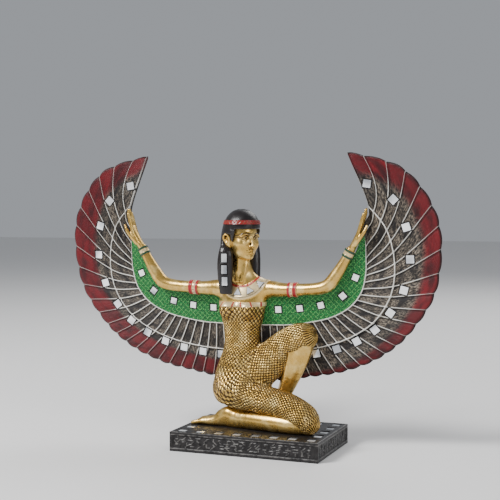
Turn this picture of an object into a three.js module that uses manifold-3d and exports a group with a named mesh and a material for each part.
import * as THREE from 'three';
import Module from 'manifold-3d';

// Winged kneeling goddess figurine: one painted resin casting with small mirror tiles glued
// into shallow pockets. Millimetres. X runs along the plinth towards the knees, -Y is the
// front, Z is up, and the origin is the middle of the plinth's underside.

// Plinth
const PLINTH = { x: 110, y: 72, z: 14 };
const RIM = 2.3;              // height of the raised line along top and bottom of each side
const RIM_RISE = 0.8;         // how far that line stands out of the carved panel
const BORDER = 7;             // tile centres in from the plinth's edge

// Mirror tiles
const TILE = 5.4;
const PANEL_TILE = 4.4;
const TILE_T = 1.2;
const GAP = 0.3;
const LAPPET_TILE = [3.8, 6];
const COLLAR_TILE = 5.4;      // side of a triangular tile
const PROUD = 0.15;           // tile tops above the surface they are set in
const PLINTH_SUNK = 0.3;      // tile tops below the plinth's top

// Wings: a plate that leans its top forward and dishes its feather ends back
const WING_X = -12.2;
const WING_MID = 140;         // height at which the arm's edge of the face lies at WING_Y
const WING_Y = -1;
const WING_LEAN = 0.086;
const WING_DISH = 1.5;        // set back from one line of the wing to the next
const WING_T = [5.2, 3.2];    // thickness at the arm and at the feather tips
const RIDGE = 0.55;
const SCALLOP = 0.9;
const SWAY = 0.06;            // sideways swing of the quills, in feathers
const TOP_BOW = 5;            // outward bow of the first quills between arc and tip
const FEATHERS = 26;

// The four lines that every quill crosses, from the hand to the back, in rows spread evenly
// over the quills: [half width from the middle, height]
const ARM_LINE = [[89, 166.5], [84, 146], [78, 134], [71, 124.5], [61.5, 117], [49, 115],
  [34.5, 114], [20, 114], [6.5, 114], [-2.5, 114]];
const PANEL_LINE = [[90, 162], [90.5, 138], [90, 126], [86.5, 113], [78, 102.5], [64.5, 95],
  [49, 91], [32.5, 88.5], [17.5, 88], [-1, 87.5]];
const ARC_LINE = [[92, 173.5], [104.5, 157.5], [110, 135.5], [107.5, 113], [96, 94],
  [78.5, 81.5], [58.5, 74], [37.5, 70], [17.5, 68.5], [-1, 68]];
const TIP_LINE = [[77, 210.5], [116.5, 198], [139.5, 163], [138, 118], [120, 87], [98, 68],
  [71.5, 56.5], [44.5, 51], [20, 47], [-1.5, 46]];

// Relief above the wing's face
const PANEL_RISE = 1.3;
const INNER_RISE = 0.7;
const CORD_RISE = 0.7;
const OUTER_RISE = 0.2;       // feather face at the tiles just outside the arc

// Broad collar: a disc seen from the front, laid over chest and shoulders
const COLLAR = { x: -12.3, z: 127, radius: 20.4, rise: 0.5 };

// Head, looking towards the knees
const HEAD = { x: -13.2, y: -2.2, turn: 58 };
const HAIRLINE = 157;
const EAR_TOP = 153.4;
const WIG_FRONT = 4;          // the wig's front edge at the temple and, below, behind the ear,
const WIG_BY_EAR = -4.2;      // both measured forward of the head's middle

const wasm = await Module();
wasm.setup();
const rad = THREE.MathUtils.degToRad;

// Closed solids from points and faces

function solid(points, faces) {
  let volume = 0;
  const v = points.map((p) => new THREE.Vector3(...p));
  for (const [a, b, c] of faces) volume += v[a].dot(v[b].clone().cross(v[c]));
  const tris = volume < 0 ? faces.map(([a, b, c]) => [a, c, b]) : faces;
  return new wasm.Manifold(new wasm.Mesh({
    numProp: 3,
    vertProperties: Float32Array.from(points.flat()),
    triVerts: Uint32Array.from(tris.flat()),
  }));
}

// Skin over a row of rings, closed by a fan at each end
function skin(rings) {
  const n = rings[0].length;
  const last = (rings.length - 1) * n;
  const faces = [];
  for (let i = 0; i < n; i += 1) {
    const j = (i + 1) % n;
    for (let r = 0; r < last; r += n) {
      faces.push([r + i, r + j, r + n + j], [r + i, r + n + j, r + n + i]);
    }
    if (i > 0 && j > 0) faces.push([0, j, i], [last, last + i, last + j]);
  }
  return solid(rings.flat(), faces);
}

// Level oval rings: [z, x, y, half width, half depth, squareness]
function stack(levels, sides, turn = 0) {
  return skin(levels.map(([z, x, y, a, b, square = 2]) => Array.from({ length: sides }, (_, i) => {
    const t = (2 * Math.PI * i) / sides;
    const [c, s] = [Math.cos(t), Math.sin(t)];
    const u = a * Math.sign(c) * Math.abs(c) ** (2 / square);
    const w = b * Math.sign(s) * Math.abs(s) ** (2 / square);
    const [ct, st] = [Math.cos(rad(turn)), Math.sin(rad(turn))];
    return [x + u * ct - w * st, y + u * st + w * ct, z];
  })));
}

// Oval tube along a path: [x, y, z, half size along `side`, half size across it]
function tube(path, sides, side = [0, 1, 0]) {
  const at = path.map((p) => new THREE.Vector3(p[0], p[1], p[2]));
  return skin(path.map(([x, y, z, a, b = a], i) => {
    const t = at[Math.min(i + 1, at.length - 1)].clone().sub(at[Math.max(i - 1, 0)]).normalize();
    const u = new THREE.Vector3(...side).addScaledVector(t, -t.dot(new THREE.Vector3(...side)));
    u.normalize();
    const w = t.clone().cross(u);
    return Array.from({ length: sides }, (_, k) => {
      const f = (2 * Math.PI * k) / sides;
      const [cu, cw] = [a * Math.cos(f), b * Math.sin(f)];
      return [x + u.x * cu + w.x * cw, y + u.y * cu + w.y * cw, z + u.z * cu + w.z * cw];
    });
  }));
}

// Ball squashed to three half sizes
function ball([x, y, z], [a, b, c], sides, rows) {
  return skin(Array.from({ length: rows }, (_, r) => {
    const f = (Math.PI * (r + 0.5)) / rows;
    return Array.from({ length: sides }, (_, i) => {
      const t = (2 * Math.PI * i) / sides;
      return [x + a * Math.sin(f) * Math.cos(t), y + b * Math.sin(f) * Math.sin(t),
        z - c * Math.cos(f)];
    });
  }));
}

// Prism on an outline of [u, w] pairs, raised both ways from `at` along u x w
function prism(outline, at, u, w, below, above) {
  const n = u.clone().cross(w);
  const ring = (d) => outline.map(([p, q]) => at.clone().addScaledVector(u, p)
    .addScaledVector(w, q).addScaledVector(n, d).toArray());
  return skin([ring(-below), ring(above)]);
}

function block([x0, y0, z0], [x1, y1, z1]) {
  return prism([[x0, y0], [x1, y0], [x1, y1], [x0, y1]], new THREE.Vector3(),
    new THREE.Vector3(1, 0, 0), new THREE.Vector3(0, 1, 0), -z0, z1);
}

const merge = (list) => list.reduce((a, b) => a.add(b));

// Wings

// Smooth curve through a line's rows, at quill k
function on(line, k) {
  const last = line.length - 1;
  const u = (k / FEATHERS) * last;
  const i = Math.min(Math.floor(u), last - 1);
  const f = u - i;
  const p = [-1, 0, 1, 2].map((n) => line[Math.min(Math.max(i + n, 0), last)]);
  return [0, 1].map((c) => 0.5 * (2 * p[1][c] + (p[2][c] - p[0][c]) * f
    + (2 * p[0][c] - 5 * p[1][c] + 4 * p[2][c] - p[3][c]) * f * f
    + (3 * p[1][c] - p[0][c] - 3 * p[2][c] + p[3][c]) * f * f * f));
}

const blend = (a, b, t) => [a[0] + (b[0] - a[0]) * t, a[1] + (b[1] - a[1]) * t];
const wingFace = (height, t) => WING_Y - WING_LEAN * (height - WING_MID) + WING_DISH * t;

// Point of quill k: t 0..1 from arm to panel edge, 1..2 on to the arc, 2..3 on to the tip
function quill(k, t) {
  if (t <= 1) return blend(on(ARM_LINE, k), on(PANEL_LINE, k), t);
  const sway = (f) => Math.min(Math.max(k + SWAY * Math.sin(2 * Math.PI * f), 0), FEATHERS);
  if (t <= 2) {
    const s = sway(t - 1);
    return blend(on(PANEL_LINE, s), on(ARC_LINE, s), t - 1);
  }
  const s = k > 0 && k < FEATHERS ? sway(t - 2) : k;
  const p = blend(on(ARC_LINE, s), on(TIP_LINE, s), t - 2);
  const bow = TOP_BOW * Math.max(0, Math.min(k, 1 - k / 5)) * Math.sin(Math.PI * (t - 2));
  return [p[0] + bow, p[1] + bow * 0.3];
}

// Rows from arm to tip: [t, rise of the face, share of the quill ridge]
const FRONT_ROWS = [[0, PANEL_RISE, 0], [1, PANEL_RISE + CORD_RISE, 0],
  [1.1, INNER_RISE, 1], [2, INNER_RISE + CORD_RISE, 0.3],
  [2.07, 0, 1], [2.45, 0, 1], [3, -0.4, 0.6]];
const BACK_ROWS = [0, 3];

function wing(side) {
  const columns = 2 * FEATHERS;
  const points = [];
  const put = (k, t, depth, scallop) => {
    const [a, h] = quill(k, t);
    const [a2, h2] = quill(k, Math.max(t - 0.1, 0));
    const l = Math.hypot(a - a2, h - h2) || 1;
    const half = a + (scallop * (a - a2)) / l;
    points.push([WING_X + side * half, wingFace(h, t) + depth, h + (scallop * (h - h2)) / l]);
  };
  for (let c = 0; c <= columns; c += 1) {
    const quillHere = c % 2 === 0 ? 1 : 0;
    const edge = c === 0 || c === columns ? 0 : SCALLOP * (quillHere ? -0.5 : 1);
    for (const [t, rise, share] of FRONT_ROWS) {
      put(c / 2, t, -rise - RIDGE * share * quillHere, t === 3 ? edge : 0);
    }
    for (const t of BACK_ROWS) {
      const thick = WING_T[0] + ((WING_T[1] - WING_T[0]) * t) / 3;
      put(c / 2, t, thick + (quillHere && t > 1 ? 0.3 : 0), t === 3 ? edge : 0);
    }
  }
  const [f, b] = [FRONT_ROWS.length, BACK_ROWS.length];
  const n = f + b;
  const faces = [];
  const quad = (p, q, r, s) => faces.push([p, q, r], [p, r, s]);
  for (let c = 0; c < columns; c += 1) {
    const [p, q] = [c * n, (c + 1) * n];
    for (let i = 0; i < f - 1; i += 1) quad(p + i, q + i, q + i + 1, p + i + 1);
    for (let j = f; j < n - 1; j += 1) quad(p + j, p + j + 1, q + j + 1, q + j);
    quad(p, p + f, q + f, q);
    quad(p + f - 1, q + f - 1, q + n - 1, p + n - 1);
  }
  // both end edges: a ladder between the front rows and the fewer back rows
  for (const base of [0, columns * n]) {
    const out = (x, y, z) => faces.push(base ? [x, z, y] : [x, y, z]);
    let [i, j] = [0, 0];
    while (i < f - 1 || j < b - 1) {
      const stepFront = j === b - 1
        || (i < f - 1 && FRONT_ROWS[i + 1][0] <= BACK_ROWS[j + 1]);
      if (stepFront) out(base + i, base + i + 1, base + f + j);
      else out(base + i, base + f + j + 1, base + f + j);
      if (stepFront) i += 1;
      else j += 1;
    }
  }
  return solid(points, faces);
}

// Frame lying on a wing's face: centre, two directions in the face and the outward normal
function wingSeat(side, k, t, rise) {
  const at = (kk, tt) => {
    const [half, h] = quill(kk, tt);
    return new THREE.Vector3(WING_X + side * half, wingFace(h, tt) - rise, h);
  };
  const c = at(k, t);
  const across = at(k + 0.3, t).sub(at(k - 0.3, t)).normalize();
  const out = at(k, t + 0.08).sub(at(k, t - 0.08)).cross(across).normalize();
  if (out.y > 0) out.negate();
  return { c, u: across, w: out.clone().cross(across) };
}

// Tiles and their pockets

const tiles = [];
const pockets = [];

function square(a, b) {
  return [[-a / 2, -b / 2], [a / 2, -b / 2], [a / 2, b / 2], [-a / 2, b / 2]];
}

function triangle(size, grow) {
  const r = size / Math.sqrt(3) + 2 * grow;
  return [0, 120, 240].map((d) => [r * Math.cos(rad(d)), r * Math.sin(rad(d))]);
}

// A tile whose top stands `proud` of the seat, in a pocket one gap larger all round
function setTile(name, outline, seat, proud = PROUD) {
  const { c, u, w } = seat;
  const make = (grow, below, above) => prism(outline(grow), c, u, w, below, above);
  tiles.push([name, make(0, TILE_T - proud, proud)]);
  pockets.push(make(GAP, TILE_T - proud + GAP, 4));
}

const plain = (a, b = a) => (grow) => square(a + 2 * grow, b + 2 * grow);
const number = (i) => String(i).padStart(2, '0');

for (const [word, side, count] of [['left', -1, 12], ['right', 1, 10]]) {
  for (let i = 0; i < count; i += 1) {
    const k = 2 * i + 0.5;
    const t = 2.2 + 0.23 * Math.max(0, 1 - (k / 10) ** 2);
    setTile(`feather_mirror_${word}_${number(i + 1)}`, plain(TILE), wingSeat(side, k, t, OUTER_RISE));
  }
}
const PANEL_SEATS = [7.2, 10.9, 14.6, 17.6, 20.6];
const PANEL_SEAT_OUT = 0.57;
for (const [word, side] of [['left', -1], ['right', 1]]) {
  PANEL_SEATS.forEach((k, i) => setTile(`panel_mirror_${word}_${i + 1}`, plain(PANEL_TILE),
    wingSeat(side, k, PANEL_SEAT_OUT, PANEL_RISE)));
}

const flat = (x, y) => ({
  c: new THREE.Vector3(x, y, PLINTH.z), u: new THREE.Vector3(1, 0, 0),
  w: new THREE.Vector3(0, 1, 0),
});
const [EX, EY] = [PLINTH.x / 2 - BORDER, PLINTH.y / 2 - BORDER];
for (let i = 0; i < 8; i += 1) {
  const x = -EX + (2 * EX * i) / 7;
  setTile(`plinth_mirror_front_${i + 1}`, plain(TILE), flat(x, -EY), -PLINTH_SUNK);
}
setTile('plinth_mirror_corner', plain(TILE), flat(EX, EY), -PLINTH_SUNK);
for (let i = 1; i < 4; i += 1) {
  const y = -EY + (2 * EY * i) / 4;
  setTile(`plinth_mirror_right_${i}`, plain(TILE), flat(EX, y), -PLINTH_SUNK);
  // the middle one on the left would lie under the toes
  if (i !== 2) setTile(`plinth_mirror_left_${i}`, plain(TILE), flat(-EX, y), -PLINTH_SUNK);
}

// Plinth block

function plinth() {
  const [x, y, z] = [PLINTH.x / 2, PLINTH.y / 2, PLINTH.z];
  const [low, high, d] = [RIM, z - RIM, RIM_RISE];
  const cuts = [
    block([-x + RIM, -y - 1, low], [x - RIM, -y + d, high]),
    block([-x + RIM, y - d, low], [x - RIM, y + 1, high]),
    block([x - d, -y + RIM, low], [x + 1, y - RIM, high]),
    block([-x - 1, -y + RIM, low], [-x + d, y - RIM, high]),
  ];
  return block([-x, -y, 0], [x, y, z]).subtract(merge(cuts));
}

// Body

const TORSO = [[30, -14.5, -3.6, 14, 9.5], [35, -15.6, -2.8, 17.8, 12.4],
  [42, -16.4, -1.5, 19.4, 13.4], [52, -16.2, -0.5, 18.2, 12.8], [62, -15.4, 0, 15.2, 11.4],
  [70, -14.8, 0.4, 13.4, 10.2], [77, -14.2, 0.6, 13.1, 9.8], [84, -14, 0.6, 13.8, 9.9],
  [90, -14, 0.5, 15.2, 10.2], [97, -13.8, 0.5, 16.8, 10.5], [105, -13.4, 0.8, 17.6, 10.2],
  [112, -12.8, 1.2, 18.2, 9], [117, -13, 1.2, 15.4, 7.4], [121, -13.5, 0.6, 10.2, 6.7],
  [125, -13.8, -0.8, 6.9, 6.2]];
const torsoAt = (grow) => stack(TORSO.map(([z, x, y, a, b]) => [z, x, y, a + grow, b + grow]), 16);

const torso = () => [
  torsoAt(0),
  ball([-21.8, -6.8, 99], [6.4, 6.6, 6.4], 9, 5),
  ball([-7, -6.8, 99], [6.4, 6.6, 6.4], 9, 5),
  // band under the arms
  stack([[101.6, -13.6, 0.6, 17.8, 11.2], [105, -13.4, 0.8, 18.1, 10.8]], 16),
  // neck
  stack([[118, -13.8, -0.9, 6.8, 6.4], [128, -13.9, -1.4, 6.1, 6.1],
    [138, -13.6, -1.8, 6, 6.1]], 12),
];

// Near leg kneels along the plinth; far knee is raised
const nearLeg = () => [
  tube([[-21, -4, 40, 11, 10], [-15, -5, 39.8, 13.5, 13], [2, -8, 36.4, 12.2, 10.6],
    [18, -10, 34, 11, 10], [29, -11.5, 30.4, 10.4, 10], [37.5, -12.2, 25.8, 9.8, 9.8],
    [42, -12.4, 22.2, 8.8, 8.6], [46, -12.5, 19.8, 6.4, 6.2], [48.6, -12.5, 18.6, 2.6, 2.4]], 12),
  tube([[40, -12.4, 20.2, 6.6, 6.4], [28, -11.8, 20.6, 7.8, 7], [12, -9.6, 20.8, 7.8, 7.2],
    [-4, -7, 20.8, 6.8, 7], [-17, -5, 20.6, 5.2, 7], [-25, -3.8, 20.8, 5, 6.8],
    [-32, -2.8, 18, 5, 4.3], [-42, -1.4, 16.7, 5.7, 3], [-47, -0.8, 15.8, 5.2, 2]], 10),
  ...[0, 1, 2, 3, 4].map((i) => tube([[-45, -5.4 + 2.3 * i, 16.4, 1.3],
    [-51.4 + 0.9 * i, -5.4 + 2.3 * i, 15.4, 1.2]], 4)),
];

const farLeg = () => [
  tube([[-12, 0, 46, 10, 11], [-4, 0, 52, 10.8, 13], [6, 0.2, 61, 10.4, 13.2],
    [15, 0.6, 69.6, 9.8, 12.6], [23, 1, 75.8, 9.2, 11.8], [29, 1.2, 79.4, 9, 11.2],
    [34, 1.2, 81.6, 8.2, 9.4], [38.6, 1.2, 82, 5.8, 6.4], [41.4, 1.2, 82, 2.6, 2.8]], 12),
  tube([[33, 1.2, 82, 5, 5], [32, 1.2, 76, 7.4, 8.2], [29.4, 1.6, 69, 7.2, 8.4],
    [25, 2.6, 58.5, 6.8, 7.8], [17.6, 4.8, 42, 5.2, 5.6], [11, 6.6, 29, 4.4, 4.6],
    [6.6, 7.6, 20, 4.4, 4.4]], 9),
  tube([[-3, 7.8, 17.4, 3.6, 3.6], [5, 8, 19.4, 4.6, 5.8], [15, 8.8, 18.2, 5.1, 4.5],
    [29, 10.2, 15.6, 5.4, 2.2]], 8),
  ...[0, 1, 2, 3, 4].map((i) => tube([[27, 5.6 + 2.3 * i, 16, 1.3],
    [33.4 - 0.9 * i, 5.6 + 2.3 * i, 15.2, 1.2]], 4)),
];

// Arms in front of the wings: [half width from the middle, y, z, radius]
const ARM = [[12, 2.4, 114, 5.8], [22, 0.6, 114.1, 5.6], [31, -1.4, 113.9, 4.9],
  [46, -2.6, 114.6, 4.2], [57, -3, 115.6, 4.4], [64, -3.2, 118, 4.7],
  [69, -3.2, 124, 4.5], [75.4, -3.2, 134, 3.6], [80.4, -3.4, 143, 3]];
// Hands stand edge on, fingers together: [y, half width at the base, at the tip, top]
const FINGERS = [[-6.9, 87.4, 91, 168.6], [-5, 87.4, 91.4, 171], [-3.1, 87.4, 91.4, 171.6],
  [-1.2, 87.4, 91, 169.4]];

const atSide = (side, list) => list.map(([a, y, z, p, q]) => [WING_X + side * a, y, z, p, q]);

function arm(side) {
  const at = (list) => atSide(side, list);
  const ring = (from, to, r) => tube(at([[...from, r], [...to, r]]), 8);
  return [
    tube(at(ARM), 8),
    ring([34.2, -1.8, 114], [42.8, -2.4, 114.4], 5.2),
    ring([77.2, -3.2, 137.1], [80.4, -3.4, 142.4], 4),
    tube(at([[78, -3.3, 138.6, 2.6, 2.4], [82.5, -3.7, 146, 3.4, 2.4],
      [85.6, -4, 152, 4.2, 2.3], [88, -4.1, 158, 3.9, 1.8]]), 6),
    ...FINGERS.map(([y, base, tip, top]) => tube(at([[base, y, 156, 1.3],
      [base + 0.5 * (tip - base), y, 163, 1.3], [tip, y + 0.3, top, 0.7]]), 4)),
    tube(at([[84.4, -6, 147.5, 1.8], [89, -7.4, 153, 1.6], [92.6, -7.4, 157.4, 1.4],
      [94, -7.2, 161, 0.7]]), 4),
  ];
}

// Collar: the grown chest and shoulders, cut by the collar's disc
function collar() {
  const ring = Array.from({ length: 24 }, (_, i) => {
    const t = (Math.PI * i) / 12;
    return [COLLAR.radius * Math.cos(t), COLLAR.radius * Math.sin(t)];
  });
  const disc = prism(ring, new THREE.Vector3(COLLAR.x, 0, COLLAR.z), new THREE.Vector3(1, 0, 0),
    new THREE.Vector3(0, 0, 1), 30, 30);
  const shoulder = (side) => tube(atSide(side, ARM.slice(0, 3)
    .map(([a, y, z, r]) => [a, y, z, r + COLLAR.rise])), 8);
  return merge([torsoAt(COLLAR.rise), shoulder(-1), shoulder(1)]).intersect(disc);
}

// Head and wig

const FORWARD = new THREE.Vector3(Math.sin(rad(HEAD.turn)), -Math.cos(rad(HEAD.turn)), 0);
const ASIDE = new THREE.Vector3(-FORWARD.y, FORWARD.x, 0);

// Point of the head: forward of its middle, to its left side, and height
function face(forward, left, z) {
  return [HEAD.x + FORWARD.x * forward + ASIDE.x * left,
    HEAD.y + FORWARD.y * forward + ASIDE.y * left, z];
}

// Face rings: [z, half width, depth forward, extra at the middle line, depth back]
const SKULL = [[134.6, 2.6, 9.4, 0.4, -3], [136.4, 5.2, 11, 0.5, 2], [139, 8, 10.6, 0.6, 6],
  [140.4, 8.8, 10.8, 1.1, 7], [142, 9.4, 11, 0.6, 8], [143.2, 9.8, 11, 1.3, 8.6],
  [145, 10.2, 10.8, 3.2, 9.4], [147.6, 10.7, 10.8, 2.2, 10.4], [150, 10.9, 10.4, 1, 11],
  [152.4, 10.9, 11.2, 0.5, 11.4], [161, 10, 10.2, 0, 11.6], [166, 7, 7, 0, 7]];

function skull() {
  const sides = 16;
  return skin(SKULL.map(([z, half, front, ridge, back]) => Array.from({ length: sides },
    (_, i) => {
      const t = (2 * Math.PI * i) / sides;
      const c = Math.cos(t);
      const reach = c > 0 ? front * c ** 0.8 : back * c;
      return face(reach + (i === 0 ? ridge : 0), half * Math.sin(t), z);
    })));
}

// Wig rings: [z, forward shift of the middle, half depth, half width]
const WIG = [[118, -8, 5, 10], [124, -7.2, 7, 11.4], [132, -5.2, 10.4, 13],
  [141, -3, 13.4, 14], [150, -1.6, 14.9, 14.1], [157, -0.9, 14.4, 13.3],
  [162, -0.2, 13.2, 12.3], [166.5, -0.2, 10.8, 9.8], [169.8, -0.2, 7, 6.2],
  [171.4, -0.2, 2.4, 2]];
const NEAR_LAPPET = [[-22.8, -10.2, 144.4, 3, 1.6], [-21.5, -12.8, 140.6, 5.2, 2.9],
  [-22, -12.8, 132, 5.6, 3], [-22.2, -12, 122, 5.3, 2.9], [-22.1, -11.2, 114, 4.6, 2.8],
  [-21.9, -10.9, 110.4, 4.2, 2.5]];
const FAR_LAPPET = [[-9.6, 8.4, 150, 4.4, 3], [-7.6, 7, 139, 4.6, 3], [-6.8, 6, 128, 4.4, 3],
  [-6.6, 5.2, 118, 4.2, 3]];

function wig() {
  const cap = stack(WIG.map(([z, s, a, b]) => {
    const [x, y] = face(s, 0, z);
    return [z, x, y, a, b];
  }), 16, HEAD.turn - 90);
  const corner = new THREE.Vector3(...face(0, 0, 0));
  const opening = (front, top) => prism([[front, -30], [40, -30], [40, 30], [front, 30]], corner,
    FORWARD, ASIDE, -100, top);
  const [bx, by] = face(-0.2, 0, 0);
  const band = stack([[160.2, bx, by, 14.3, 13.3], [163.6, bx, by, 13.3, 12.4]], 16,
    HEAD.turn - 90);
  const lappet = (path) => tube(path, 8, [Math.cos(rad(20)), Math.sin(rad(20)), 0]);
  const ear = (s) => tube([[...face(-1.2, -9.8 * s, 143), 1, 0.8],
    [...face(-1.4, -11.8 * s, 145.4), 1.7, 1.2], [...face(-2.2, -13.6 * s, 149.6), 2.6, 1.5],
    [...face(-2.6, -13.6 * s, 152.6), 1.8, 1]], 8, FORWARD.toArray());
  return [
    cap.subtract(merge([opening(WIG_FRONT, HAIRLINE), opening(WIG_BY_EAR, EAR_TOP)])),
    band, lappet(NEAR_LAPPET), lappet(FAR_LAPPET), ear(1), ear(-1),
  ];
}

// Tiles on the wig and the collar

// Seat with its first direction turned `tilt` degrees from straight up, about the normal
function seatFacing(point, normal, tilt = 0) {
  const out = new THREE.Vector3(...normal).normalize();
  const up = new THREE.Vector3(0, 0, 1).addScaledVector(out, -out.z).normalize();
  const u = up.applyAxisAngle(out, rad(tilt));
  return { c: new THREE.Vector3(...point), u, w: out.clone().cross(u) };
}

[[-21.7, -15.7, 136.4], [-21.8, -15.3, 128.2], [-21.6, -14.8, 119.8]].forEach((p, i) => {
  setTile(`lappet_mirror_near_${i + 1}`, plain(LAPPET_TILE[1], LAPPET_TILE[0]),
    seatFacing(p, [0.34, -0.94, 0]));
});
[[-14.2, -8.6, 111.6, -0.02, 0.25, 0], [-5.4, -8, 113.2, 0.3, 0.35, 28],
  [1.6, -4.4, 118, 0.35, 0.8, 50]].forEach(([x, y, z, nx, nz, tilt], i) => {
  setTile(`collar_mirror_${i + 1}`, (grow) => triangle(COLLAR_TILE, grow),
    seatFacing([x, y, z], [nx, -1, nz], tilt));
});

// The whole figurine

const parts = [plinth(), ...torso(), collar(), ...nearLeg(), ...farLeg(), ...arm(-1), ...arm(1),
  skull(), ...wig(), wing(-1), wing(1)];
const casting = merge(parts).subtract(merge(pockets));

function toMesh(shape, name, look) {
  const { vertProperties, triVerts } = shape.getMesh();
  const geometry = new THREE.BufferGeometry();
  geometry.setAttribute('position', new THREE.BufferAttribute(vertProperties, 3));
  geometry.setIndex(new THREE.BufferAttribute(triVerts, 1));
  const mesh = new THREE.Mesh(geometry, new THREE.MeshStandardMaterial(look));
  mesh.name = name;
  return mesh;
}

const group = new THREE.Group();
group.name = 'winged_goddess_figurine';
group.add(toMesh(casting, 'figure_casting', { color: 0x8c6a2c, roughness: 0.38, metalness: 0.7 }));
for (const [name, shape] of tiles) {
  group.add(toMesh(shape, name, { color: 0xdfe3e6, roughness: 0.05, metalness: 1 }));
}
console.log('casting triangles', casting.numTri(), 'tiles', tiles.length);
console.log('bodies', casting.decompose().length, 'volume mm3', Math.round(casting.volume()));

export default group;
